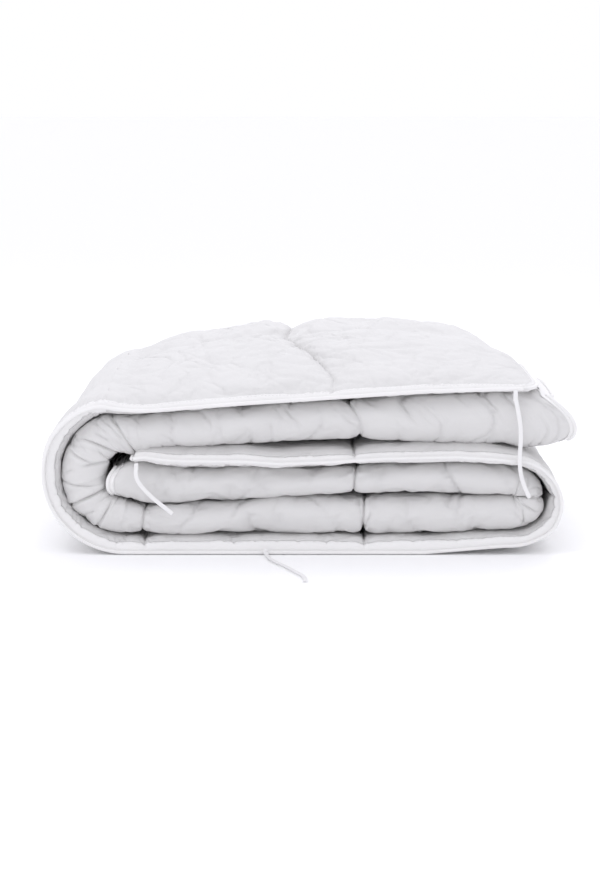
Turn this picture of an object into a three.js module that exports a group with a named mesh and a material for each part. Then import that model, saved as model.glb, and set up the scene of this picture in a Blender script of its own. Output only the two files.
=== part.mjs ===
// A white box-quilted duvet, folded for storage. Millimetres, +Z up, +X to the right seen from the front.
//
// The duvet is two sheets of cloth with a filling between them, sewn round the edge over a piping cord.
// It is folded in three across its width, leaf C lowest, then leaf B, then leaf A on the outside. That
// strip then lies as a bottom run on the floor, a right fold that brings it back as the middle run, and
// a left fold that carries it over the top as the top run, whose end is free.
// The origin is at the centre of the folded stack, on the surface it rests on.
import * as THREE from "three";

// Driving dimensions.
const FOLDED_LENGTH = 679;
const LEAF_DEPTH = 467;
const BOTTOM_LEAF = 22.4;
const MIDDLE_LEAF = 17.7;
const TOP_LEAF = 22;
const LEAF_GAP = 0.8;
const LOW_RUN_GAP = 5;
const HIGH_RUN_GAP = 7.5;
const CLOTH = 0.8;
const PIPING = 5;
const TIE_DIAMETER = 5;

// How the folded edges sit against each other.
const FRONT_INSET = 8;
const BACK_INSET = 14;
const TOP_LEAF_SHORT = 42;
const RIGHT_FOLD_SHORT = 11;
const TUCK_CLEARANCE = 3;
const GAP = 0.4;
const CROWNED_LAYER_GAP = 0.8;
const PIPING_BREAK = 0.004;

// The top run is not pressed down, so it swells towards its free end and over its middle. The swelling
// adds up along and across, which keeps each facet flat and the layers clear of each other.
const TOP_SWELL = 0.7;
const SWELL_CURVE = 0.8;
const CROWN = 40;
const CROWN_CURVE = 0.75;
const CROWN_DROP = 0.88;
const SWOLLEN_EDGE_SHARE = 0.7;

// Bar tacks that hold the ties to the piping.
const TACK_LENGTH = 7;
const TACK_THICKNESS = 3;
const TACK_HEIGHT = 4;

// Facets.
const FOLD_STEPS = 8;
const TURN_STEPS = 4;
const TUBE_SIDES = 6;
const TIE_SIDES = 8;

// Flat tape ties: their routes as they hang down the front and lie on the floor.
const RIGHT_TIE = [
  [263, -236.2, 206], [264.6, -238, 197], [266.8, -239, 186], [268.8, -239.5, 174], [269.8, -240, 162],
  [270, -240, 150], [269.6, -240, 138], [269.4, -240, 126], [270.3, -240, 114], [272.8, -240, 102],
  [277, -240, 90], [283, -240, 77],
];
const LEFT_TIE = [
  [-221.5, -236.2, 117], [-221.8, -238, 108], [-219.5, -239.5, 99.5], [-214.5, -240, 92],
  [-208, -240, 84.5], [-200.5, -240, 77], [-192, -240, 69.8], [-183, -240.5, 62.8], [-175.5, -241, 56.5],
];
const BOTTOM_TIE = [
  [-56, -236, 6.6], [-55, -243, 4.6], [-53, -252, 3], [-49.5, -264, 3], [-44.5, -276, 3],
  [-38, -288, 3], [-31, -300, 3], [-25, -312.5, 3], [-19.5, -325, 3], [-13.5, -337.5, 3],
  [-8.5, -350, 3], [-5.5, -363, 3], [-5.5, -376, 3],
];

const COTTON = new THREE.MeshStandardMaterial({ color: 0xf2f2f5, roughness: 0.9, metalness: 0 });
const FIBRE = new THREE.MeshStandardMaterial({ color: 0xfafafa, roughness: 1, metalness: 0 });
const TAPE = new THREE.MeshStandardMaterial({ color: 0xf7f7f9, roughness: 0.85, metalness: 0 });

const duvet = new THREE.Group();

function stackHeight(leaf) {
  return 3 * leaf + 2 * LEAF_GAP;
}

const BOTTOM_HEIGHT = stackHeight(BOTTOM_LEAF);
const MIDDLE_HEIGHT = stackHeight(MIDDLE_LEAF);
const TOP_HEIGHT = stackHeight(TOP_LEAF);
const MIDDLE_Z = BOTTOM_HEIGHT + LOW_RUN_GAP;
const TOP_Z = MIDDLE_Z + MIDDLE_HEIGHT + HIGH_RUN_GAP;

// The two folds turn about these centres, from the inner radius that the runs between them leave.
const LEFT_INNER = (TOP_Z - BOTTOM_HEIGHT) / 2;
const LEFT_Z = BOTTOM_HEIGHT + LEFT_INNER;
const LEFT_X = -FOLDED_LENGTH / 2 + LEFT_INNER + (BOTTOM_HEIGHT + TOP_HEIGHT) / 2;
const RIGHT_INNER = LOW_RUN_GAP / 2;
const RIGHT_Z = BOTTOM_HEIGHT + RIGHT_INNER;
const RIGHT_REACH = RIGHT_INNER + (BOTTOM_HEIGHT + MIDDLE_HEIGHT) / 2;
const RIGHT_X = FOLDED_LENGTH / 2 - RIGHT_FOLD_SHORT - RIGHT_REACH;

// Where the leaves' cut edges stop, to leave room for the piping sewn along them.
const FREE_EDGE_Y = -LEAF_DEPTH / 2 + PIPING + GAP;
const HIDDEN_EDGE_Y = LEAF_DEPTH / 2 - BACK_INSET - PIPING - GAP;
const END_PIPING_OFF = 0.75 * PIPING + GAP;
const TOP_END_X = FOLDED_LENGTH / 2;
const TUCK_REACH = Math.sqrt(LEFT_INNER ** 2 - (LEFT_Z - MIDDLE_Z) ** 2);
const MIDDLE_END_X = LEFT_X - TUCK_REACH + TUCK_CLEARANCE + PIPING + GAP;

// Each section turns a share of its length, a depth and a height in the stack into a place. The height
// counts from leaf C's outer side, which is the inner side of both folds.
function bottomRun(share, y, height) {
  const start = LEFT_X + GAP;
  return [start + share * (RIGHT_X - GAP - start), y, BOTTOM_HEIGHT - height];
}

function middleRun(share, y, height) {
  const start = RIGHT_X - GAP;
  return [start + share * (MIDDLE_END_X - start), y, MIDDLE_Z + height];
}

function leftFold(share, y, height) {
  const angle = share * Math.PI;
  const radius = LEFT_INNER + height * (1 + share * (TOP_HEIGHT / BOTTOM_HEIGHT - 1));
  return [LEFT_X - radius * Math.sin(angle), y, LEFT_Z - radius * Math.cos(angle)];
}

function rightFold(share, y, height) {
  const angle = share * Math.PI;
  const radius = RIGHT_INNER + height * (1 + share * (MIDDLE_HEIGHT / BOTTOM_HEIGHT - 1));
  return [RIGHT_X + radius * Math.sin(angle), y, RIGHT_Z - radius * Math.cos(angle)];
}

function topRun(share, y, height) {
  const start = LEFT_X + GAP;
  const end = TOP_END_X - TOP_LEAF_SHORT * (height / TOP_HEIGHT);
  const underLeafA = 2 * TOP_LEAF + 1.5 * LEAF_GAP;
  const lower = Math.min(height, underLeafA) * (1 + TOP_SWELL * share ** SWELL_CURVE);
  const across = 1 - Math.abs(2 * y / LEAF_DEPTH) ** 3;
  const lengthways = Math.sin(Math.PI * CROWN_DROP * share ** CROWN_CURVE);
  const leafA = 1 + (0.5 * CROWN / TOP_LEAF) * (across + lengthways);
  return [start + share * (end - start), y, TOP_Z + lower + Math.max(0, height - underLeafA) * leafA];
}

// The middle line of the strip, folded in three, as a cut across a run shows it: leaf C, the front fold,
// leaf B, the back fold and leaf A. Each point carries the direction towards the lower cloth.
function foldedLine(leaf, spans) {
  const radius = (leaf + LEAF_GAP) / 2;
  const front = -LEAF_DEPTH / 2 + FRONT_INSET + leaf / 2 + radius;
  const back = LEAF_DEPTH / 2 - leaf / 2 - radius;
  const line = [];
  const straight = (from, to, height, towards) => {
    for (let i = 0; i <= spans; i += 1) {
      line.push({ y: from + (to - from) * (i / spans), height, ny: 0, nh: towards });
    }
  };
  const turn = (centre, height, side) => {
    for (let i = 1; i < TURN_STEPS; i += 1) {
      const angle = Math.PI * i / TURN_STEPS;
      const outY = side * Math.sin(angle);
      const outH = -Math.cos(angle);
      line.push({
        y: centre + radius * outY,
        height: height + radius * (1 + outH),
        ny: -side * outY,
        nh: -side * outH,
      });
    }
  };
  straight(HIDDEN_EDGE_Y, front, leaf / 2, -1);
  turn(front, leaf / 2, -1);
  straight(front, back, leaf / 2 + 2 * radius, 1);
  turn(back, leaf / 2 + 2 * radius, 1);
  straight(back, FREE_EDGE_Y, leaf / 2 + 4 * radius, -1);
  return line;
}

// Puts a shape's vertices where a section says, and turns its faces outwards if the section mirrored it.
function placed(geometry, place) {
  const position = geometry.attributes.position;
  for (let i = 0; i < position.count; i += 1) {
    position.setXYZ(i, ...place(position.getZ(i), position.getX(i), position.getY(i)));
  }
  const corners = [new THREE.Vector3(), new THREE.Vector3(), new THREE.Vector3()];
  let volume = 0;
  for (let i = 0; i < position.count; i += 3) {
    corners.forEach((corner, k) => corner.fromBufferAttribute(position, i + k));
    volume += corners[0].dot(corners[1].cross(corners[2]));
  }
  if (volume < 0) {
    for (let i = 0; i < position.count; i += 3) {
      corners.forEach((corner, k) => corner.fromBufferAttribute(position, i + k));
      position.setXYZ(i + 1, ...corners[2].toArray());
      position.setXYZ(i + 2, ...corners[1].toArray());
    }
  }
  return geometry;
}

function addMesh(name, geometry, material) {
  const mesh = new THREE.Mesh(geometry, material);
  mesh.name = name;
  duvet.add(mesh);
}

// One layer of the strip in one section: the part between two offsets from its middle line.
function addLayer(name, section, offsets, material) {
  const line = foldedLine(section.leaf, section.spans);
  const side = (offset) => line.map((p) => new THREE.Vector2(p.y + p.ny * offset, p.height + p.nh * offset));
  const outline = new THREE.Shape([...side(offsets[1]), ...side(offsets[0]).reverse()]);
  const options = { depth: 1, steps: section.steps, bevelEnabled: false };
  addMesh(name, placed(new THREE.ExtrudeGeometry(outline, options), section.place), material);
}

function addSection(name, section) {
  const half = section.leaf / 2;
  const inside = half - CLOTH - section.layerGap;
  addLayer(`${name}_lower_cloth`, section, [half - CLOTH, half], COTTON);
  addLayer(`${name}_filling`, section, [-inside, inside], FIBRE);
  addLayer(`${name}_upper_cloth`, section, [-half, CLOTH - half], COTTON);
}

// A round cord along a smooth line through some places.
function addTube(name, points, diameter, sides, steps, material) {
  const section = new THREE.Shape();
  for (let i = 0; i < sides; i += 1) {
    const angle = 2 * Math.PI * (i + 0.5) / sides;
    const corner = [0.5 * diameter * Math.cos(angle), 0.5 * diameter * Math.sin(angle)];
    if (i === 0) section.moveTo(...corner);
    else section.lineTo(...corner);
  }
  const path = new THREE.CatmullRomCurve3(points.map((p) => new THREE.Vector3(...p)), false, "centripetal");
  const options = { steps, extrudePath: path, bevelEnabled: false };
  addMesh(name, new THREE.ExtrudeGeometry(section, options), material);
}

// Places along one edge of a leaf through a section, at a depth and a height in the stack.
function along(section, y, height, count, from = 0, to = 1) {
  const shares = Array.from({ length: count + 1 }, (_, i) => from + (to - from) * (i / count));
  return shares.map((share) => section.place(share, y, height));
}

const bottom = { place: bottomRun, leaf: BOTTOM_LEAF, spans: 1, steps: 1, layerGap: GAP };
const middle = { place: middleRun, leaf: MIDDLE_LEAF, spans: 1, steps: 1, layerGap: GAP };
const left = { place: leftFold, leaf: BOTTOM_LEAF, spans: 1, steps: FOLD_STEPS, layerGap: GAP };
const right = { place: rightFold, leaf: BOTTOM_LEAF, spans: 1, steps: FOLD_STEPS, layerGap: GAP };
const top = { place: topRun, leaf: TOP_LEAF, spans: 9, steps: 7, layerGap: CROWNED_LAYER_GAP };

addSection("bottom_run", bottom);
addSection("left_fold", left);
addSection("right_fold", right);
addSection("middle_run", middle);
addSection("top_run", top);

// Leaf A's free edge shows at the front and leaf C's at the back. Both run on from the left fold's top
// through the bottom run and the right fold to the tucked-in end of the middle run.
const leafEdges = [
  { name: "front_edge_piping", y: -LEAF_DEPTH / 2 + PIPING / 2, height: frontEdgeHeight },
  { name: "back_edge_piping", y: HIDDEN_EDGE_Y + GAP + PIPING / 2, height: (section) => section.leaf / 2 },
];

// The height of leaf A's free edge in a section's stack. The swollen top leaf is sewn nearer its lower side.
function frontEdgeHeight(section) {
  return stackHeight(section.leaf) - section.leaf * (section === top ? SWOLLEN_EDGE_SHARE : 0.5);
}

for (const edge of leafEdges) {
  const route = [
    ...along(left, edge.y, edge.height(left), 10, 1, 0.06),
    ...along(bottom, edge.y, edge.height(bottom), 6, 0.04, 0.96),
    ...along(right, edge.y, edge.height(right), 8, 0.06, 0.94),
    ...along(middle, edge.y, edge.height(middle), 6, 0.04, 1),
  ];
  addTube(edge.name, route, PIPING, TUBE_SIDES, 72, TAPE);
  const free = along(top, edge.y, edge.height(top), 8, PIPING_BREAK);
  const end = free[free.length - 1];
  free.push([end[0] + END_PIPING_OFF + PIPING / 2, end[1], end[2]]);
  addTube(`${edge.name}_top`, free, PIPING, TUBE_SIDES, 20, TAPE);
}

// The duvet's two short ends: one is the free end of the top run, the other is tucked into the left fold.
function addEndPiping(name, section, side, off) {
  const route = foldedLine(section.leaf, 5).map((p) => {
    const [x, y, z] = section.place(1, p.y, p.height);
    return [x + side * off, y, z];
  });
  addTube(name, route, PIPING, TUBE_SIDES, 44, TAPE);
}

addEndPiping("free_end_piping", top, 1, END_PIPING_OFF);
addEndPiping("tucked_end_piping", middle, -1, GAP + PIPING / 2);

// A tie and the bar tack that holds it, sewn just under the piping of the run that it hangs from.
function addTie(name, route, section) {
  const height = frontEdgeHeight(section);
  const y = -LEAF_DEPTH / 2 + PIPING / 2;
  const startX = section.place(0, y, height)[0];
  const endX = section.place(1, y, height)[0];
  const pipingZ = section.place((route[0][0] - startX) / (endX - startX), y, height)[2];
  const tack = new THREE.BoxGeometry(TACK_LENGTH, TACK_THICKNESS, TACK_HEIGHT);
  tack.translate(route[0][0], y, pipingZ - PIPING / 2 - GAP - TACK_HEIGHT / 2);
  addMesh(`${name}_tack`, tack, TAPE);
  addTube(name, route, TIE_DIAMETER, TIE_SIDES, 22, TAPE);
}

addTie("right_tie", RIGHT_TIE, top);
addTie("left_tie", LEFT_TIE, middle);
addTie("bottom_tie", BOTTOM_TIE, bottom);

export default duvet;
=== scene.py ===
import math
import bmesh
import bpy
import numpy as np
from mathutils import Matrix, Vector


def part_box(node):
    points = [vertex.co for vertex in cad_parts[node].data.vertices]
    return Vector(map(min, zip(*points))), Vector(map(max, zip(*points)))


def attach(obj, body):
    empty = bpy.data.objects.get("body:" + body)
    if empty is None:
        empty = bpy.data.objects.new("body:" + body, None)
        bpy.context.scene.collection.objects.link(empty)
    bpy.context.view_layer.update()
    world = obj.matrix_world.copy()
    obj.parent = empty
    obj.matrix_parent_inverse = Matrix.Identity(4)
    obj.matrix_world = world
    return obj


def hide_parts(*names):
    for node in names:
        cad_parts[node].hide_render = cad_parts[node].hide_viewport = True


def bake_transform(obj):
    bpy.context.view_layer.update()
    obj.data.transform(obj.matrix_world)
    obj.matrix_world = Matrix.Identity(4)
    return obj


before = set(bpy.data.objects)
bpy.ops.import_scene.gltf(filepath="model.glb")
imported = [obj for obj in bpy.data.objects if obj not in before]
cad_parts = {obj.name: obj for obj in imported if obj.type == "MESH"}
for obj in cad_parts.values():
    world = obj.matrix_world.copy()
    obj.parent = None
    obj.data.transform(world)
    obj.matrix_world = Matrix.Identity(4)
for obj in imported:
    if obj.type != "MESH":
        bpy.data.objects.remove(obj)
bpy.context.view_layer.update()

# A white box-quilted duvet: cotton cover, fibre filling, piped edge and three tape ties. It is folded in
# three across its width, leaf C lowest, then B, then A outside, and the strip is then rolled into a
# bottom run, a right fold, a middle run, a left fold and a free top run. Lengths here are millimetres.
MM = 0.001
PIPING = 5.0
LEAF_GAP = 0.8
FRONT_INSET = 8.0
TAPE_WIDTH = 6.0
TAPE_THICKNESS = 1.1
STITCH = 3.2
STITCH_SPACING = 4.6
THREAD = 0.85
THREAD_LIFT = 0.9
TAPE_LIFT = 0.7
TAPE_UNDERSIDE = -0.4
POCKET_WIDTH = 280.0
CLOTH_SLACK = 0.022
CLOTH_PRESSURE = 1.2
CLOTH_FRAMES = 14
CLOTH_CAP = 5.0
JOINED = 10.0
SIDE_REACH = 20.0
END_REACH = 17.0
LEAN_FADE = 45.0
ROLL_DEPTH = 46.0
JOINT_CREASE_DEPTH = 3.4


def node_box(node):
    low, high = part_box(node)
    return np.array(low) / MM, np.array(high) / MM


left_high = node_box("left_fold_upper_cloth")[1]
right_low, right_high = node_box("right_fold_upper_cloth")
LEFT_X = left_high[0]
RIGHT_X = right_low[0]
FRONT_Y, BACK_Y = -left_high[1], left_high[1]
BOTTOM_HEIGHT = node_box("bottom_run_lower_cloth")[1][2]
MIDDLE_Z = node_box("middle_run_lower_cloth")[0][2]
MIDDLE_HEIGHT = right_high[2] - MIDDLE_Z
TOP_Z = node_box("top_run_lower_cloth")[0][2]
TOP_HEIGHT = left_high[2] - TOP_Z
FREE_END_X = node_box("top_run_lower_cloth")[1][0]
TUCKED_END_X = node_box("tucked_end_piping")[0][0] + PIPING / 2
HIDDEN_EDGE_Y = node_box("back_edge_piping")[0][1]
FREE_EDGE_Y = FRONT_Y + PIPING
LEAF_DEPTH = BACK_Y - FRONT_Y
BOTTOM_LEAF = (BOTTOM_HEIGHT - 2 * LEAF_GAP) / 3
TOP_LEAF = (TOP_HEIGHT - 2 * LEAF_GAP) / 3
UNDER_LEAF_A = 2 * TOP_LEAF + 1.5 * LEAF_GAP
LEFT_INNER = (TOP_Z - BOTTOM_HEIGHT) / 2
LEFT_Z = BOTTOM_HEIGHT + LEFT_INNER
RIGHT_INNER = (MIDDLE_Z - BOTTOM_HEIGHT) / 2
RIGHT_Z = BOTTOM_HEIGHT + RIGHT_INNER

# Stations along the strip, counted at the middle of its thickness from the top of the left fold.
FOLD_LENGTH = 213.0
TURN_LENGTH = 114.0
TURN_START = FOLD_LENGTH + RIGHT_X - LEFT_X
MIDDLE_START = TURN_START + TURN_LENGTH
MIDDLE_LENGTH = RIGHT_X - TUCKED_END_X
BASE_LENGTH = MIDDLE_START + MIDDLE_LENGTH
TOP_LENGTH = FREE_END_X - LEFT_X

# Quilting seams across the strip, as stations on the base, and the one across the top run's roll, as a place.
BOTTOM_SEAM = FOLD_LENGTH + 309
BASE_SEAMS = [FOLD_LENGTH + 24, BOTTOM_SEAM, TURN_START + 60, MIDDLE_START + 206]
TOP_ROLL_SEAM_X = 47.0

# Where leaf A starts in the stack, as a share of its height, and where the top run's layers end.
LEAF_A_SHARE = 0.67
LEAF_A_END_X = 293.0
ROLL_END_X = 340.0
CUT_END_X = 300.0

Y_AXIS = np.array([0.0, 1.0, 0.0])
X_AXIS = np.array([1.0, 0.0, 0.0])


# ---- Materials

def linear(code):
    """An sRGB hex colour as the linear numbers that a shader takes."""
    parts = [int(code[i:i + 2], 16) / 255 for i in (1, 3, 5)]
    return [c / 12.92 if c <= 0.04045 else ((c + 0.055) / 1.055) ** 2.4 for c in parts] + [1]


def node(tree, kind, settings=(), links=()):
    """Adds a node, sets its values by name or number, and links its inputs."""
    made = tree.nodes.new(kind)
    for name, value in dict(settings).items():
        if isinstance(name, int) or name in made.inputs.keys():
            made.inputs[name].default_value = value
        else:
            setattr(made, name, value)
    for name, socket in dict(links).items():
        tree.links.new(socket, made.inputs[name])
    return made


def woven_cotton(name, tints, thread_spacing, weave_depth, crumple_depth):
    """Woven cotton: matt with a soft sheen, a fine thread grid and the small crumples of washed cloth."""
    material = bpy.data.materials.new(name)
    material.use_nodes = True
    tree = material.node_tree
    shader = tree.nodes["Principled BSDF"]
    shader.inputs["Roughness"].default_value = 0.8
    shader.inputs["Sheen Weight"].default_value = 0.12
    shader.inputs["Sheen Roughness"].default_value = 0.45
    shader.inputs["Specular IOR Level"].default_value = 0.25
    cloth = node(tree, "ShaderNodeUVMap", {"uv_map": "cloth"}).outputs["UV"]
    place = node(tree, "ShaderNodeTexCoord").outputs["Object"]
    threads = math.pi / 10 / (thread_spacing * MM)
    warp = node(tree, "ShaderNodeTexWave", {"Scale": threads, "Distortion": 0.5}, {"Vector": cloth})
    weft = node(tree, "ShaderNodeTexWave", {"bands_direction": "Y", "Scale": threads, "Distortion": 0.5},
                {"Vector": cloth})
    weave = node(tree, "ShaderNodeMath", {"operation": "MULTIPLY"},
                 {0: warp.outputs["Fac"], 1: weft.outputs["Fac"]})
    small = {"Scale": 85, "Detail": 5, "Roughness": 0.6, "Distortion": 0.7}
    crumple = node(tree, "ShaderNodeTexNoise", small, {"Vector": place})
    soft = node(tree, "ShaderNodeBump", {"Strength": 0.6, "Distance": crumple_depth * MM},
                {"Height": crumple.outputs["Fac"]})
    fine = node(tree, "ShaderNodeBump", {"Strength": 0.5, "Distance": weave_depth * MM},
                {"Height": weave.outputs["Value"], "Normal": soft.outputs["Normal"]})
    tree.links.new(fine.outputs["Normal"], shader.inputs["Normal"])
    patches = node(tree, "ShaderNodeTexNoise", {"Scale": 11, "Detail": 3}, {"Vector": place})
    tint = node(tree, "ShaderNodeMix", {"data_type": "RGBA", 6: linear(tints[0]), 7: linear(tints[1])},
                {"Factor": patches.outputs["Fac"]})
    tree.links.new(tint.outputs[2], shader.inputs["Base Color"])
    return material


# Downproof cotton percale, closely woven, washed.
percale = woven_cotton("cotton_percale_washed", ("#d5d4d3", "#dcdbda"), 0.9, 0.12, 0.9)
# Cotton bias tape over the piping cord, coarser and a little whiter.
tape = woven_cotton("cotton_bias_tape_woven", ("#e8e7e6", "#eeedec"), 1.2, 0.2, 0.4)
# Flat cotton tie tape, closely woven.
tie_tape = woven_cotton("cotton_tie_tape_woven", ("#e9e8e8", "#efeeee"), 1.0, 0.25, 0.3)
# Spun polyester sewing thread.
sewing_thread = woven_cotton("polyester_thread_twisted", ("#e6e5e5", "#efeeee"), 0.8, 0.1, 0.2)


def finish_piece(piece, material, body=None):
    """Gives a piece its material; with a body it is parented to that body's empty, without one its transform
    is baked into its mesh.
    """
    piece.data.materials.append(material)
    if body:
        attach(piece, body)
    else:
        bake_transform(piece)


# ---- Meshes: a grid whose rows wrap round a closed cut

def wrapped(name, points, u, v):
    """A closed skin from an array of places: columns along the piece, rows round it."""
    columns, rows = points.shape[:2]
    bm = bmesh.new()
    bmesh.ops.create_grid(bm, x_segments=columns - 1, y_segments=rows, size=0.5)
    mesh = bpy.data.meshes.new(name)
    bm.to_mesh(mesh)
    bm.free()
    flat = np.empty(len(mesh.vertices) * 3)
    mesh.vertices.foreach_get("co", flat)
    column = np.rint((flat[0::3] + 0.5) * (columns - 1)).astype(int)
    row = np.rint((flat[1::3] + 0.5) * rows).astype(int)
    around = np.concatenate([points, points[:, :1]], axis=1)
    mesh.vertices.foreach_set("co", (around[column, row] * MM).ravel())
    u = np.concatenate([u, u[:, :1]], axis=1)
    v = np.concatenate([v, v[:, :1]], axis=1)
    corner = np.empty(len(mesh.loops), int)
    mesh.loops.foreach_get("vertex_index", corner)
    layer = mesh.uv_layers[0] if mesh.uv_layers else mesh.uv_layers.new(name="cloth")
    layer.name = "cloth"
    uv = np.stack([u[column, row][corner], v[column, row][corner]], axis=1) * MM
    layer.data.foreach_set("uv", uv.ravel())
    bm = bmesh.new()
    bm.from_mesh(mesh)
    bmesh.ops.remove_doubles(bm, verts=bm.verts, dist=2e-6)
    caps = bmesh.ops.holes_fill(bm, edges=[e for e in bm.edges if e.is_boundary])["faces"]
    for edge in {edge for face in caps for edge in face.edges}:
        edge.smooth = False
    bmesh.ops.recalc_face_normals(bm, faces=bm.faces)
    bm.to_mesh(mesh)
    bm.free()
    mesh.polygons.foreach_set("use_smooth", [True] * len(mesh.polygons))
    piece = bpy.data.objects.new(name, mesh)
    bpy.context.scene.collection.objects.link(piece)
    return piece


def travelled(path):
    return np.concatenate([[0], np.cumsum(np.linalg.norm(np.diff(path, axis=0), axis=1))])


def sweep(name, path, across, outline):
    """A closed outline carried along a path. Its first axis lies as near as it can to across."""
    forward = np.gradient(path, axis=0)
    forward = forward / np.linalg.norm(forward, axis=1)[:, None]
    other = np.cross(forward, across)
    other = other / np.linalg.norm(other, axis=1)[:, None]
    first = np.cross(other, forward)
    sideways = first[:, None, :] * outline[None, :, :1] + other[:, None, :] * outline[None, :, 1:]
    gone, around = travelled(path), travelled(outline)
    u, v = gone[:, None] + 0 * around, around + 0 * gone[:, None]
    return wrapped(name, path[:, None, :] + sideways, u, v)


def ring(diameter, sides=12):
    angle = 2 * np.pi * np.arange(sides) / sides
    return 0.5 * diameter * np.stack([np.cos(angle), np.sin(angle)], axis=1)


def smooth_path(points, count):
    """A smooth line through given points."""
    points = np.array(points, float)
    ends = np.vstack([2 * points[0] - points[1], points, 2 * points[-1] - points[-2]])
    out = []
    for at in np.linspace(0, len(points) - 1, count):
        i = min(int(at), len(points) - 2)
        t = at - i
        a, b, c, d = ends[i:i + 4]
        curve = (3 * b - a - 3 * c + d) * t ** 3 + (2 * a - 5 * b + 4 * c - d) * t ** 2 + (c - a) * t
        out.append(b + 0.5 * curve)
    return np.array(out)


# ---- The camera and the ties

def add_camera():
    target = Vector((-0.0115, FRONT_Y * MM, 0.143))
    tilt = math.radians(10.5)
    distance = 2.4
    data = bpy.data.cameras.new("camera")
    data.lens = 75.6
    camera = bpy.data.objects.new("camera", data)
    camera.location = target + distance * Vector((0, -math.cos(tilt), math.sin(tilt)))
    camera.rotation_euler = (math.pi / 2 - tilt, 0, 0)
    bpy.context.scene.collection.objects.link(camera)
    bpy.context.scene.camera = camera


add_camera()

RIGHT_TIE = [
    (263, -236.2, 206), (264.6, -238, 197), (266.8, -239, 186), (268.8, -239.5, 174), (269.8, -240, 162),
    (270, -240, 150), (269.6, -240, 138), (269.4, -240, 126), (270.3, -240, 114), (272.8, -240, 102),
    (277, -240, 90), (283, -240, 77),
]
LEFT_TIE = [
    (-221.5, -236.2, 117), (-221.8, -238, 108), (-219.5, -239.5, 99.5), (-214.5, -240, 92),
    (-208, -240, 84.5), (-200.5, -240, 77), (-192, -240, 69.8), (-183, -240.5, 62.8), (-175.5, -241, 56.5),
]
BOTTOM_TIE = [
    (-56, -236, 6.6), (-55, -243, 4.6), (-53, -252, 3), (-49.5, -264, 3), (-44.5, -276, 3),
    (-38, -288, 3), (-31, -300, 3), (-25, -312.5, 3), (-19.5, -325, 3), (-13.5, -337.5, 3),
    (-8.5, -350, 3), (-5.5, -363, 3), (-5.5, -376, 3),
]


def add_tie(name, route, across, body, rise):
    """A flat tape with softly rounded edges, and its sewn end, which rises to the piping."""
    path = smooth_path(route, 90)
    turn = 2 * np.pi * np.arange(16) / 16
    outline = np.stack([TAPE_WIDTH / 2 * np.cos(turn), TAPE_THICKNESS / 2 * np.sin(turn)], axis=1)
    outline = np.sign(outline) * np.abs(outline) ** 0.9
    tie = sweep(name + "_tape", path, across, outline)
    steps = [[0, 2.2, rise], [0, 1.4, rise / 2], [0, 1.1, -1], [0, 0.9, -4]]
    tack_path = np.array(route[0]) + np.array(steps)
    tack = sweep(name + "_sewn_end", tack_path, across, outline * np.array([1.08, 1.3]))
    finish_piece(tie, tie_tape, body)
    finish_piece(tack, sewing_thread, body)
    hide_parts(name)
    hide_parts(name + "_tack")


add_tie("right_tie", RIGHT_TIE, X_AXIS, "top_run", 10)
add_tie("left_tie", LEFT_TIE, np.array([0.6, 0.0, 0.8]), "folded_base", 4)
add_tie("bottom_tie", BOTTOM_TIE, X_AXIS, "folded_base", 1.5)


# ---- Smooth, repeatable randomness and the shapes that stitching gives to cloth

def bumps(u, v, seed):
    """Soft random bumps between -1 and 1, about one unit apart."""
    table = np.random.default_rng(seed).uniform(-1, 1, (64, 64))
    u0, v0 = np.floor(u).astype(int), np.floor(v).astype(int)
    fu, fv = u - u0, v - v0
    fu, fv = fu * fu * (3 - 2 * fu), fv * fv * (3 - 2 * fv)
    near = table[u0 % 64, v0 % 64] * (1 - fv) + table[u0 % 64, (v0 + 1) % 64] * fv
    far = table[(u0 + 1) % 64, v0 % 64] * (1 - fv) + table[(u0 + 1) % 64, (v0 + 1) % 64] * fv
    return near * (1 - fu) + far * fu


def creases(u, v, seed):
    """Thin wandering creases in flat cloth, from 0 to 1."""
    wander = u + 0.6 * bumps(0.7 * u, 0.7 * v, seed + 1)
    strength = np.clip(bumps(0.6 * u, 0.6 * v, seed + 2) + 0.35, 0, 1)
    return strength * (1 - np.abs(bumps(wander, v, seed))) ** 6


def valley(distance, width):
    return np.exp(-(distance / width) ** 2)


def fullness(distance, reach):
    """How full the pad is at a distance from a sewn edge: 0 at the stitches, 1 past the reach."""
    t = np.clip(distance / reach, 0, 1)
    return np.sqrt(1 - (1 - t) ** 2)


# ---- The middle line of a folded cut: leaf C from its hidden edge, front fold, B, back fold, A to its edge

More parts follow.
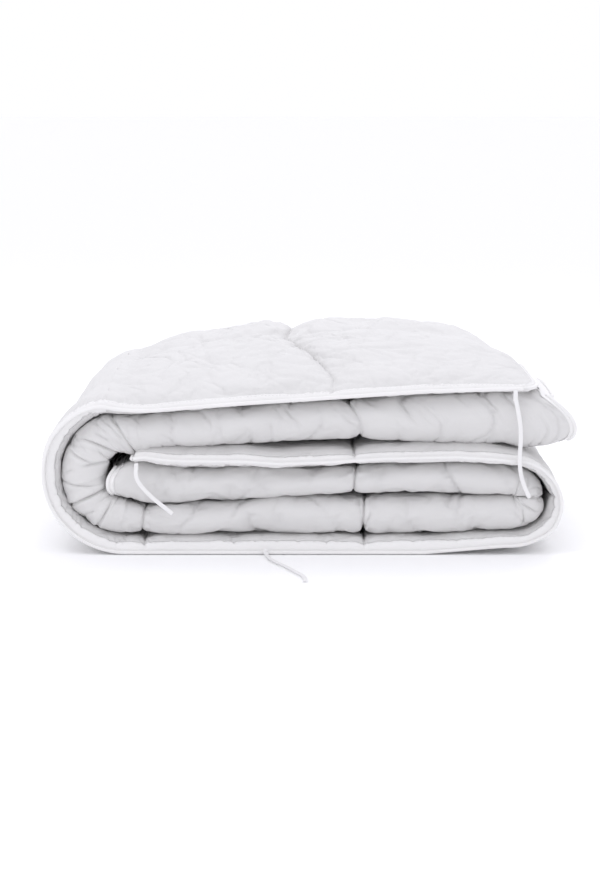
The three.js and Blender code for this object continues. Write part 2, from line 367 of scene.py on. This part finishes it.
def fold_line(leaf, leaf_a_step):
    radius = (leaf + LEAF_GAP) / 2
    front = FRONT_Y + FRONT_INSET + leaf / 2 + radius
    back = BACK_Y - leaf / 2 - radius
    y, h, ny, nh = [], [], [], []

    def straight(places, height, towards):
        y.extend(places)
        h.extend([height] * len(places))
        ny.extend([0] * len(places))
        nh.extend([towards] * len(places))

    def turn(centre, height, side, count):
        angle = np.pi * np.arange(1, count) / count
        y.extend(centre + side * radius * np.sin(angle))
        h.extend(height + radius * (1 - np.cos(angle)))
        ny.extend(-np.sin(angle))
        nh.extend(side * np.cos(angle))

    straight(np.linspace(HIDDEN_EDGE_Y, HIDDEN_EDGE_Y - 24, 7), leaf / 2, -1)
    straight(np.linspace(HIDDEN_EDGE_Y - 45, front + 50, 10), leaf / 2, -1)
    straight(np.linspace(front + 38, front, 12), leaf / 2, -1)
    turn(front, leaf / 2, -1, 26)
    straight(np.linspace(front, front + 38, 12), leaf / 2 + 2 * radius, 1)
    straight(np.linspace(front + 55, back, 14), leaf / 2 + 2 * radius, 1)
    turn(back, leaf / 2 + 2 * radius, 1, 12)
    outside = np.linspace(back, FREE_EDGE_Y + 30, int(400 / leaf_a_step))
    seam = FREE_EDGE_Y + POCKET_WIDTH + np.array([12, 6, 3, 1.5, 0, -1.5, -3, -6, -12])
    outside = outside[np.min(np.abs(outside[:, None] - seam), axis=1) > 1.4]
    straight(np.sort(np.concatenate([outside, seam]))[::-1], leaf / 2 + 4 * radius, -1)
    straight(np.linspace(FREE_EDGE_Y + 26, FREE_EDGE_Y, 14), leaf / 2 + 4 * radius, -1)
    y, h, ny, nh = (np.array(values, float) for values in (y, h, ny, nh))
    gone = np.concatenate([[0], np.cumsum(np.hypot(np.diff(y), np.diff(h)))])
    at_front = gone[-1] - gone[np.argmin(y - 1000 * (h < 3 * radius))]
    return {"y": y, "h": h, "ny": ny, "nh": nh, "w": gone[-1] - gone, "leaf": leaf, "width": gone[-1],
            "front": at_front}


# ---- Where a station, a depth and a height in the stack lie

def settled(x, z):
    """How the lower runs sag and rise where they press on each other."""
    under = np.interp(x, [150, 250, 300, 328], [0, 9, 10, 0]) * np.clip(1 - z / 45, 0, 1)
    low = np.interp(x, [-262, -215, -170, -110, -37, 45, 200, 250, 300], [0, -8, -10, -7, 0, 3, 3, 4, 0])
    high = np.interp(x, [-262, -230, -83, -37, 40, 100, 190, 237, 300], [0, 4, 3, 0, 3, 7, 9, 6, 0])
    at_low = np.clip(1 - np.abs(z - 71) / 48, 0, 1)
    at_high = np.clip((z - 85) / 35, 0, 1)
    return z + under + low * at_low + high * at_high


def seam_lean(h):
    """The seam at the top of the left fold leans: its lower end lies further right."""
    return 18 - 57 * np.clip(h / TOP_HEIGHT, 0, 0.7)


def leaf_a_crown(depth, share):
    """The rise of leaf A's outside over the left fold, from nothing at its underside."""
    above = np.clip((share - LEAF_A_SHARE) / (1 - LEAF_A_SHARE), 0, 1)
    return 19 * np.sin(np.pi * np.clip(depth, 0, 1)) ** 0.7 * above


def roll_sag(s, h):
    """The lower edge of the roll sags where it leaves the left fold."""
    return 11 * np.exp(-(s / 26) ** 2) * np.clip(1 - h / 30, 0, 1)


def tucked_end(h):
    """How far left of the CAD end each layer of the middle run reaches: rolls bulge, leaf A stops short."""
    share = h / BOTTOM_HEIGHT
    roll = 8 - 14 * np.clip(np.abs(share - 0.3) / 0.36, 0, 1) ** 2.5
    return np.where(share > LEAF_A_SHARE, -24, roll)


def place_base(s, y, h):
    depth = (y - FRONT_Y) / LEAF_DEPTH
    angle = np.pi * np.clip(1 - s / FOLD_LENGTH, 0, 1)
    radius = LEFT_INNER + h * (1 + (TOP_HEIGHT / BOTTOM_HEIGHT - 1) * angle / np.pi)
    radius = radius + leaf_a_crown(depth, h / BOTTOM_HEIGHT) * np.clip(-np.cos(angle), 0, 1)
    snug = 7 * np.sin(angle) ** 2 * np.clip(1 - h / 30, 0, 1)
    x_left = LEFT_X - (radius - snug) * np.sin(angle) * (1 + 0.03 * np.sin(angle))
    behind = np.clip((y - FRONT_Y - 12) / 90, 0, 1) * np.clip(h / BOTTOM_HEIGHT, 0, 1)
    x_left = x_left + 26 * behind * np.sin(angle) * np.clip((angle - 1.3) / 1.1, 0, 1)
    x_left = x_left + seam_lean(h * TOP_HEIGHT / BOTTOM_HEIGHT) * np.exp(-s / LEAN_FADE)
    z_left = LEFT_Z - radius * np.cos(angle) - roll_sag(s, h)
    turned = np.pi * np.clip((s - TURN_START) / TURN_LENGTH, 0, 1)
    inner = RIGHT_INNER + h * (1 + (MIDDLE_HEIGHT / BOTTOM_HEIGHT - 1) * turned / np.pi)
    x = np.where(s < FOLD_LENGTH, x_left, LEFT_X + s - FOLD_LENGTH)
    z = np.where(s < FOLD_LENGTH, z_left, BOTTOM_HEIGHT - h)
    x = np.where(s > TURN_START, RIGHT_X + inner * np.sin(turned), x)
    z = np.where(s > TURN_START, RIGHT_Z - inner * np.cos(turned), z)
    reach = tucked_end(h) * np.clip((s - BASE_LENGTH + 70) / 70, 0, 1) ** 1.5
    x = np.where(s > MIDDLE_START, RIGHT_X - (s - MIDDLE_START) - reach, x)
    z = np.where(s > MIDDLE_START, MIDDLE_Z + h * MIDDLE_HEIGHT / BOTTOM_HEIGHT, z)
    behind_piping = np.clip((y - FREE_EDGE_Y) / 26, 0, 1) * np.clip((BACK_Y - y) / 60, 0, 1)
    upper_leaf = np.clip((h / BOTTOM_HEIGHT - LEAF_A_SHARE) / (1 - LEAF_A_SHARE), 0, 1)
    middle = np.clip((s - MIDDLE_START + 20) / 60, 0, 1) * np.clip((BASE_LENGTH - s) / 60, 0, 1)
    z = z + 8 * behind_piping * upper_leaf * middle
    propped = np.clip((h / BOTTOM_HEIGHT - 0.3) / 0.3, 0, 1) * valley(s - BASE_LENGTH + 26, 34)
    z = z + 4.5 * propped * (s > MIDDLE_START)
    z = np.where(s < FOLD_LENGTH, z, settled(x, z))
    return x, y, z


def free_end(y, h):
    """How far right each layer of the top run reaches: a rounded roll, and leaf A with a rounded corner."""
    share = h / TOP_HEIGHT
    lower = 18 * (np.clip(0.2 - share, 0, 1) / 0.2) ** 2.5
    upper = 38 * (np.clip(share - 0.2, 0, 0.42) / 0.42) ** 2
    corner = 20 * (1 - fullness(y - FREE_EDGE_Y, 42))
    back = 14 * np.clip((y + 40) / 260, 0, 1) ** 2
    return np.where(share > LEAF_A_SHARE, LEAF_A_END_X - corner - back, ROLL_END_X - lower - upper)


def piping_height(x):
    return np.interp(x, [-252, -160, -83, 38, 146, 237, 300], [184, 192, 198, 206, 213.5, 216.5, 217.5])


def crest_height(x):
    places = [-250, -234, -180, -115, -60, 20, 110, 156, 222, 249, 275, 293, 310]
    heights = [222, 225, 238, 251, 257, 260, 262, 260, 250, 241, 231, 222, 215]
    return np.interp(x, places, heights)


def place_top(s, y, h):
    share = s / TOP_LENGTH
    blend = 1 - (1 - np.clip(share / 0.12, 0, 1)) ** 2
    x = LEFT_X + share * (free_end(y, h) - LEFT_X) + seam_lean(h) * np.exp(-s / LEAN_FADE)
    depth = np.clip(y - FRONT_Y, 0, LEAF_DEPTH)
    floor = np.interp(x, [-215, -170, -37, 36, 50, 146, 237, 283, 330],
                      [TOP_Z, 139, 145, 148, 146, 145, 142, 139, 141])
    rise = 1 - (1 - np.clip(depth / 240, 0, 1)) ** 2.1
    fall = np.clip((depth - 370) / 97, 0, 1) ** 2
    droop = 30 * np.clip((depth - 190) / 277, 0, 1) * np.clip((x - 215) / 70, 0, 1)
    joint = piping_height(x) - 8 + 8 * rise - droop
    edge = piping_height(x) + 7
    top = edge + (crest_height(x) - edge) * (rise - 0.55 * fall) - droop
    matched = TOP_Z + UNDER_LEAF_A
    joint = matched + (joint - matched) * blend
    matched = TOP_Z + TOP_HEIGHT + leaf_a_crown(depth / LEAF_DEPTH, 1)
    top = matched + (top - matched) * blend
    lower = floor + (joint - floor) * h / UNDER_LEAF_A
    upper = joint + (top - joint) * (h - UNDER_LEAF_A) / (TOP_HEIGHT - UNDER_LEAF_A)
    return x, y, np.where(h < UNDER_LEAF_A, lower, upper) - roll_sag(s, h)


# ---- How thick the pad is, from its middle line to either cloth

# Creases across the roll of the left fold: the angle and radius of each end, and the depth.
FOLD_CREASES = [
    (2.33, 72, 2.64, 30, 4.6), (2.04, 76, 1.94, 48, 3.8), (1.78, 56, 2.13, 32, 3.6),
    (1.47, 79, 1.28, 44, 3.4), (1.04, 84, 1.05, 30, 6.0), (0.50, 84, 0.47, 38, 4.4),
    (2.60, 66, 2.72, 52, 2.4), (0.78, 74, 0.72, 60, 2.4), (1.62, 74, 1.70, 64, 2.0),
]
# Creases across the roll of the right fold, in the same way.
TURN_CREASES = [
    (0.35, 44, 0.6, 20, 2.6), (1.05, 40, 1.0, 14, 2.8), (1.75, 40, 1.6, 16, 2.6), (2.5, 42, 2.2, 18, 2.4),
]


def radial_creases(angle, radius, table):
    """Sharp creases, each beside a low fold of the spare cloth, running along the radius."""
    total = 0
    for outer_angle, outer, inner_angle, inner, depth in table:
        share = (radius - inner) / (outer - inner)
        away = (angle - inner_angle - share * (outer_angle - inner_angle)) * radius
        along = np.sqrt(np.clip(4 * share * (1 - share), 0, 1))
        total = total + along * depth * (0.45 * valley(away - 5, 4.5) + 0.25 * valley(away + 6, 5))
        total = total - along * depth * valley(away, 1.4)
    return total


def puckers(along_edge, from_edge, seed):
    """Short gathers square to a row of stitches, strongest just past the tape."""
    gathers = (1 - np.abs(bumps((along_edge + 0.5 * from_edge) / 5, from_edge / 50, seed))) ** 3
    patches = np.clip(0.65 + 0.8 * bumps(along_edge / 50, from_edge / 200, seed + 1), 0.15, 1)
    return -2.6 * gathers * patches * valley(from_edge - 9, 8)


def quilted(s, w, line, side, seams, length):
    """Half the thickness of the filled pad, pinched at its sewn edges and quilting seams."""
    half = line["leaf"] / 2 - 0.15
    full = np.minimum(fullness(w, SIDE_REACH), fullness(length - s, END_REACH))
    full = full * fullness(line["width"] - w, SIDE_REACH)
    wrinkles = 1.2 * bumps(s / 38, w / 27, 3 + side) + 0.5 * bumps(s / 15, w / 12, 5 + side)
    crumpled = 2.0 if side > 0 else 1.2
    wrinkles = wrinkles - crumpled * 1.3 * creases(s / 22 + w / 30, w / 30, 40 + 3 * side)
    wrinkles = wrinkles - crumpled * 0.8 * creases(s / 12 - w / 24, w / 18, 50 + 3 * side)
    wrinkles = wrinkles + puckers(s, w, 7 + side) + puckers(s, line["width"] - w, 9 + side)
    wrinkles = wrinkles + puckers(w, length - s, 11 + side)
    for k, seam in enumerate(seams):
        away = s - seam - 0.12 * (w - line["front"]) * valley(w - line["front"], 90)
        away = away + 1.5 * bumps(w / 40, 0 * w, 60 + k)
        full = full * (1 - 0.42 * valley(away, 1.8) - 0.2 * valley(away, 7) - 0.1 * valley(away, 30))
        gathers = np.abs(bumps(w / 8, s / 50, 20 + k)) ** 1.3
        wrinkles = wrinkles - 2.6 * gathers * valley(np.abs(away) - 6, 7)
    for k in range(1, 5):
        away = w - k * POCKET_WIDTH
        full = full * (1 - 0.42 * valley(away, 2.4) - 0.3 * valley(away, 28))
    return half * full + wrinkles * np.clip(full * 1.6, 0, 1)


def base_thickness(s, w, h, line, side):
    off = quilted(s, w, line, side, BASE_SEAMS, BASE_LENGTH)
    if side > 0:
        near_front = valley(w - line["front"], ROLL_DEPTH)
        off = off - JOINT_CREASE_DEPTH * valley(s, 2) * near_front
        off = off - 1.4 * valley(s - BASE_LENGTH + 19 + 0.1 * (w - line["front"]), 1.6) * near_front
        angle = np.pi * (1 - s / FOLD_LENGTH)
        folds = radial_creases(angle, LEFT_INNER + h, FOLD_CREASES) * (s < FOLD_LENGTH)
        angle = np.pi * (s - TURN_START) / TURN_LENGTH
        folds = folds + radial_creases(angle, RIGHT_INNER + h, TURN_CREASES) * (angle > 0) * (angle < np.pi)
        off = off + folds * near_front
        seam = s - BOTTOM_SEAM
        opening = 15 * np.clip(1 - h / (2 * line["leaf"]), 0, 1)
        off = off - near_front * 2.8 * (valley(seam - opening, 1.8) + 0.8 * valley(seam + 0.5 * opening, 1.6))
    return off


def top_seam_x(depth):
    """The seam across the top leaf bows as the pockets beside it swell."""
    return np.interp(depth, [0, 40, 100, 200, 245, 300, 400, 470], [38, 36, 20, -16, -24, -30, -14, 0])


def top_x(s):
    """About where a station of the top run lies."""
    return LEFT_X + s / TOP_LENGTH * (CUT_END_X - LEFT_X)


def top_thickness(s, w, h, line, side):
    seam = (np.where(w < 480, top_seam_x(w), 45) if side < 0 else TOP_ROLL_SEAM_X) - top_x(s)
    off = quilted(s, w, line, side, [], TOP_LENGTH)
    off = off * (1 - 0.36 * valley(seam, 2.2) - 0.16 * valley(seam, 9) - 0.14 * valley(seam, 30))
    gathers = np.abs(bumps(w / 8, s / 50, 31)) ** 1.3
    off = off - 2.4 * gathers * valley(np.abs(seam) - 6, 7) * fullness(w, SIDE_REACH)
    if side > 0:
        off = off - JOINT_CREASE_DEPTH * valley(s, 2) * valley(w - line["front"], ROLL_DEPTH)
    else:
        drawn = creases(s / 150 + w / 300, w / 22, 70) + 0.5 * creases(s / 90, w / 12, 75)
        off = off - 1.1 * drawn * fullness(w, 60) * (w < 420)
    return off


# ---- The two quilts: the folded base, and the top run that can be lifted

def sewn_shift(quilt, s, rows):
    """Where the stitches lie between the two cloths, as a distance from the middle of the pad.

    At a sewn end they draw to the outside of the front roll, so that its end stays full. Round the left
    fold, the bottom run and the right fold, leaf A's edge turns outwards and shows its inner cloth.
    """
    line, length = quilt["line"], quilt["length"]
    half = line["leaf"] / 2
    at_front = valley(line["y"][rows] - FRONT_Y - FRONT_INSET, 48) * (line["h"][rows] < 2 * line["leaf"])
    at_end = 0.75 * half * (1 - fullness(length - s, END_REACH)) * at_front
    turned_out = np.clip(s / 70, 0, 1) * np.clip((MIDDLE_START - s) / 60, 0, 1) * (length == BASE_LENGTH)
    return at_end - 0.72 * half * turned_out * (1 - fullness(line["w"][rows], SIDE_REACH))


def surface(quilt, s, rows, side, lift=0.0):
    """Places on one cloth of a quilt, for stations in columns and the rows of its cut."""
    line, length = quilt["line"], quilt["length"]
    s = s[:, None] + 0.0 * rows
    w = line["w"][rows] + 0.0 * s
    half = line["leaf"] / 2
    h = np.clip(line["h"][rows] + line["nh"][rows] * half * side, 0, None) + 0 * s
    thick = np.maximum(quilt["thickness"](s, w, h, line, side), 0)
    off = side * (thick + lift) + sewn_shift(quilt, s, rows)
    y = line["y"][rows] + line["ny"][rows] * off
    return np.stack(quilt["place"](s, y, line["h"][rows] + line["nh"][rows] * off), -1)


def swollen(points, outward, held):
    """Lets a sheet of cloth, held where it is sewn or pressed, swell and wrinkle over its filling."""
    columns, rows = held.shape
    bm = bmesh.new()
    bmesh.ops.create_grid(bm, x_segments=columns - 1, y_segments=rows - 1, size=0.5)
    mesh = bpy.data.meshes.new("sheet")
    bm.to_mesh(mesh)
    bm.free()
    flat = np.empty(len(mesh.vertices) * 3)
    mesh.vertices.foreach_get("co", flat)
    column = np.rint((flat[0::3] + 0.5) * (columns - 1)).astype(int)
    row = np.rint((flat[1::3] + 0.5) * (rows - 1)).astype(int)
    start = points[column, row]
    mesh.vertices.foreach_set("co", (start * MM).ravel())
    mesh.update()
    normals = np.empty(len(mesh.vertices) * 3)
    mesh.vertices.foreach_get("normal", normals)
    if np.sum(normals.reshape(-1, 3) * outward[column, row]) < 0:
        mesh.flip_normals()
    sheet = bpy.data.objects.new("sheet", mesh)
    bpy.context.scene.collection.objects.link(sheet)
    group = sheet.vertex_groups.new(name="held")
    group.add(np.flatnonzero(held[column, row]).tolist(), 1.0, "REPLACE")
    cloth = sheet.modifiers.new("cloth", "CLOTH")
    cloth.settings.vertex_group_mass = "held"
    cloth.settings.quality = 4
    cloth.settings.mass = 0.2
    cloth.settings.tension_stiffness = 12
    cloth.settings.compression_stiffness = 12
    cloth.settings.shear_stiffness = 6
    cloth.settings.bending_stiffness = 0.02
    cloth.settings.shrink_min = -CLOTH_SLACK
    cloth.settings.use_pressure = True
    cloth.settings.uniform_pressure_force = CLOTH_PRESSURE
    cloth.settings.effector_weights.gravity = 0
    cloth.collision_settings.use_collision = False
    for number in range(1, CLOTH_FRAMES + 1):
        bpy.context.scene.frame_set(number)
    done = sheet.evaluated_get(bpy.context.evaluated_depsgraph_get()).to_mesh()
    ended = np.empty(len(done.vertices) * 3)
    done.vertices.foreach_get("co", ended)
    moved = ended.reshape(-1, 3) / MM - start
    bpy.context.scene.frame_set(1)
    bpy.data.objects.remove(sheet)
    far = np.linalg.norm(moved, axis=1)
    moved = moved * np.minimum(1, CLOTH_CAP / np.maximum(far, 0.001))[:, None]
    result = points.copy()
    result[column, row] = start + moved
    return result


def simulate(quilt, stations, points, rows, side, seams):
    """Runs the cloth over the rows of one side of a quilt that show, and holds the rest."""
    patch = points[:, rows]
    outward = surface(quilt, stations, rows, side, 1.0) - surface(quilt, stations, rows, side)
    w = quilt["line"]["w"][rows] + 0 * stations[:, None]
    s = stations[:, None] + 0 * w
    held = (s < JOINED) | (s > quilt["length"] - 7) | (w < 8)
    held[:, :2] = True
    held[:, -2:] = True
    for seam in seams:
        held |= np.abs(seam(s, w)) < 1.6
    points[:, rows] = swollen(patch, outward, held)


def pad(name, quilt, stations):
    line = quilt["line"]
    rows = np.arange(len(line["w"]))
    upper = surface(quilt, stations, rows, -1)
    lower = surface(quilt, stations, rows, 1)
    roll = rows[(line["y"] < FRONT_Y + 62) & (line["h"] < 2.2 * line["leaf"])]
    simulate(quilt, stations, lower, roll, 1, quilt["roll_seams"])
    if quilt["leaf_seams"]:
        outside = rows[(line["h"] > 2.2 * line["leaf"]) & (line["w"] < 430)]
        simulate(quilt, stations, upper, outside, -1, quilt["leaf_seams"])
    points = np.concatenate([upper[:, :-1], lower[:, :0:-1]], axis=1)
    v = np.concatenate([line["w"][:-1], line["w"][:0:-1]])
    return wrapped(name, points, stations[:, None] + 0 * v, v + 0 * stations[:, None])


def with_seams(stations, seams):
    """Stations with closer ones at each seam."""
    steps = (-7.5, -6.5, -5, -3.4, -2, -1, 0, 1, 2, 3.4, 5, 6.5, 7.5)
    close = [seam + step for seam in seams for step in steps]
    both = np.unique(np.concatenate([stations, close]))
    both = both[(both >= stations[0]) & (both <= stations[-1])]
    keep = np.concatenate([np.diff(both) > 0.45, [True]])
    return both[keep]


# A seam gives the distance from it, for a station and a width. The cloth is run over both quilts' rolls, and
# over leaf A of the quilt that has leaf seams.
base = {
    "line": fold_line(BOTTOM_LEAF, 14),
    "place": place_base,
    "thickness": base_thickness,
    "length": BASE_LENGTH,
    "roll_seams": [lambda s, w, seam=seam: s - seam for seam in BASE_SEAMS],
    "leaf_seams": [],
}
top = {
    "line": fold_line(TOP_LEAF, 3.6),
    "place": place_top,
    "thickness": top_thickness,
    "length": TOP_LENGTH,
    "roll_seams": [lambda s, w: TOP_ROLL_SEAM_X - top_x(s)],
    "leaf_seams": [lambda s, w: top_seam_x(w) - top_x(s), lambda s, w: w - POCKET_WIDTH],
}
base_stations = with_seams(np.concatenate([
    np.linspace(0, FOLD_LENGTH, 150, endpoint=False),
    np.linspace(FOLD_LENGTH, TURN_START, 125, endpoint=False),
    np.linspace(TURN_START, MIDDLE_START, 66, endpoint=False),
    np.linspace(MIDDLE_START, BASE_LENGTH, 130),
]), BASE_SEAMS)
top_stations = with_seams(np.linspace(0, TOP_LENGTH, 200), [])
base_quilt = pad("base_quilt", base, base_stations)
top_quilt = pad("top_quilt", top, top_stations)
finish_piece(base_quilt, percale, "folded_base")
finish_piece(top_quilt, percale)
LAYERS = ("lower_cloth", "filling", "upper_cloth")
BASE_PARTS = ("bottom_run", "left_fold", "right_fold", "middle_run")
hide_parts(*[f"{part}_{layer}" for part in BASE_PARTS for layer in LAYERS])
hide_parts(*[f"top_run_{layer}" for layer in LAYERS])


# ---- Piping: a covered cord along each edge, the tape beside it and the row of stitches

def edge_path(quilt, stations, row):
    """Just outside a long edge of the strip: row 0 is leaf C's hidden edge, -1 is leaf A's free edge."""
    line = quilt["line"]
    outward = PIPING / 2 if row == 0 else -PIPING / 2
    h = line["h"][row] + line["nh"][row] * sewn_shift(quilt, stations, row)
    return np.stack(quilt["place"](stations, line["y"][row] + outward + 0 * stations, h), -1)


def end_path(quilt, off):
    line = quilt["line"]
    rows = np.arange(len(line["w"]))
    end = quilt["length"] + 0 * line["y"]
    shift = sewn_shift(quilt, end, rows)
    places = quilt["place"](end, line["y"] + line["ny"] * shift, line["h"] + line["nh"] * shift)
    path = np.stack(places, -1) + np.array([off, 0, 0])
    corner = edge_path(quilt, end[:1], -1)
    return np.concatenate([path, (path[-1:] + corner) / 2 + np.array([0.3 * off, 0, 0]), corner])


def strip(name, outer, inner, stations):
    """A thin strip of tape between two rows of places."""
    points = np.concatenate([outer, inner[:, ::-1]], axis=1)
    around = travelled(points[len(points) // 2])
    return wrapped(name, points, stations[:, None] + 0 * around, around + 0 * stations[:, None])


def edge_tape(name, quilt, stations, side):
    """The tape over the stitched edge of leaf A, lying on its cloth from the cord inwards."""
    rows = np.array([-1, -2, -3, -4])
    outer = surface(quilt, stations, rows, side, TAPE_LIFT)
    inner = surface(quilt, stations, rows, side, TAPE_UNDERSIDE)
    return strip(name, outer, inner, stations)


def end_tape(name, quilt, side):
    """The tape across a sewn end, lying on the cloth from the cord inwards."""
    rows = np.arange(len(quilt["line"]["w"]))
    stations = quilt["length"] - np.array([0, 1.5, 3.5, 5.6])
    outer = surface(quilt, stations, rows, side, TAPE_LIFT).transpose(1, 0, 2)
    inner = surface(quilt, stations, rows, side, TAPE_UNDERSIDE).transpose(1, 0, 2)
    return strip(name, outer, inner, quilt["line"]["w"])


def one_stitch():
    bm = bmesh.new()
    bmesh.ops.create_uvsphere(bm, u_segments=6, v_segments=4, radius=0.5)
    mesh = bpy.data.meshes.new("stitch")
    bm.to_mesh(mesh)
    bm.free()
    return mesh


def stitches(name, path):
    """A row of short rounded stitches, pressed into the tape."""
    gone = travelled(path)
    starts = np.arange(STITCH_SPACING / 2, gone[-1] - STITCH_SPACING, STITCH_SPACING)

    def at(distance):
        return np.stack([np.interp(distance, gone, path[:, k]) for k in range(3)], -1)

    first, last = at(starts), at(starts + STITCH)
    forward = last - first
    forward = forward / np.maximum(np.linalg.norm(forward, axis=1), 0.01)[:, None]
    across = np.cross(forward, [0.3, 0.5, 0.8])
    across = across / np.linalg.norm(across, axis=1)[:, None]
    axes = np.stack([across * THREAD, np.cross(forward, across) * THREAD, forward * STITCH], axis=1)
    template = one_stitch()
    shape = np.array([vertex.co for vertex in template.vertices])
    bm = bmesh.new()
    for _ in starts:
        bm.from_mesh(template)
    mesh = bpy.data.meshes.new(name)
    bm.to_mesh(mesh)
    bm.free()
    places = (first + last)[:, None, :] / 2 + np.einsum("vk,nkc->nvc", shape, axes)
    mesh.vertices.foreach_set("co", (places * MM).ravel())
    mesh.polygons.foreach_set("use_smooth", [True] * len(mesh.polygons))
    piece = bpy.data.objects.new(name, mesh)
    bpy.context.scene.collection.objects.link(piece)
    return piece


# Each cord: its path, the axis that its cut follows, its body and the CAD solid it stands for.
cords = [
    (edge_path(base, base_stations, -1), Y_AXIS, "folded_base", "front_edge_piping"),
    (edge_path(base, base_stations, 0), Y_AXIS, "folded_base", "back_edge_piping"),
    (end_path(base, -2), X_AXIS, "folded_base", "tucked_end_piping"),
    (edge_path(top, top_stations, -1), Y_AXIS, None, "front_edge_piping_top"),
    (edge_path(top, top_stations, 0), Y_AXIS, None, "back_edge_piping_top"),
    (end_path(top, 2), X_AXIS, "top_run", "free_end_piping"),
]
for path, across, body, stands_for in cords:
    cord = sweep(stands_for + "_cord", path, across, ring(PIPING))
    finish_piece(cord, tape, body)
    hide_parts(stands_for)

tapes = [
    (edge_tape("front_edge_tape", base, base_stations, -1), "folded_base"),
    (edge_tape("front_edge_tape_inner", base, base_stations, 1), "folded_base"),
    (edge_tape("front_edge_tape_top", top, top_stations, -1), None),
    (end_tape("free_end_tape", top, -1), "top_run"),
    (end_tape("free_end_tape_under", top, 1), "top_run"),
    (end_tape("tucked_end_tape", base, 1), "folded_base"),
]
for piece, body in tapes:
    finish_piece(piece, tape, body)


def edge_stitch_path(quilt, stations, side):
    """Along leaf A's edge, just above the tape."""
    return surface(quilt, stations, np.array([-3]), side, THREAD_LIFT)[:, 0]


def end_stitch_path(quilt, side):
    """Across a sewn end, just above the tape."""
    rows = np.arange(len(quilt["line"]["w"]))
    return surface(quilt, np.array([quilt["length"] - 4.2]), rows, side, THREAD_LIFT)[0]


seam_rows = [
    ("front_edge_stitches", edge_stitch_path(base, base_stations, -1), "folded_base"),
    ("front_edge_stitches_inner", edge_stitch_path(base, base_stations, 1), "folded_base"),
    ("front_edge_stitches_top", edge_stitch_path(top, top_stations, -1), None),
    ("free_end_stitches", end_stitch_path(top, -1), "top_run"),
    ("free_end_stitches_under", end_stitch_path(top, 1), "top_run"),
    ("tucked_end_stitches", end_stitch_path(base, 1), "folded_base"),
]
for name, path, body in seam_rows:
    finish_piece(stitches(name, path), sewing_thread, body)


# ---- Floor and light

def add_stage():
    bm = bmesh.new()
    bmesh.ops.create_grid(bm, x_segments=1, y_segments=1, size=60)
    mesh = bpy.data.meshes.new("floor")
    bm.to_mesh(mesh)
    bm.free()
    floor = bpy.data.objects.new("floor", mesh)
    bpy.context.scene.collection.objects.link(floor)
    # Matt white studio paint.
    paint = bpy.data.materials.new("studio_paint_matt")
    paint.use_nodes = True
    shader = paint.node_tree.nodes["Principled BSDF"]
    shader.inputs["Base Color"].default_value = linear("#fefefe")
    shader.inputs["Roughness"].default_value = 0.95
    mesh.materials.append(paint)


def add_light(name, place, aim, size, power):
    data = bpy.data.lights.new(name, "AREA")
    data.shape = "RECTANGLE"
    data.size, data.size_y = size
    data.energy = power
    data.color = (1, 1, 1.05)
    light = bpy.data.objects.new(name, data)
    light.location = place
    light.rotation_euler = (Vector(aim) - Vector(place)).to_track_quat("-Z", "Y").to_euler()
    bpy.context.scene.collection.objects.link(light)


add_stage()
add_light("main_softbox", (-0.9, -0.8, 2.0), (0, -0.1, 0.1), (1.0, 0.8), 5.5)
add_light("back_softbox", (0.5, 1.0, 1.9), (0, 0, 0.1), (1.6, 1.0), 10)
world = bpy.data.worlds.new("studio_white")
world.use_nodes = True
world.node_tree.nodes["Background"].inputs["Color"].default_value = (1, 1, 1.05, 1)
world.node_tree.nodes["Background"].inputs["Strength"].default_value = 1.0
bpy.context.scene.world = world
bpy.context.scene.view_settings.view_transform = "Standard"
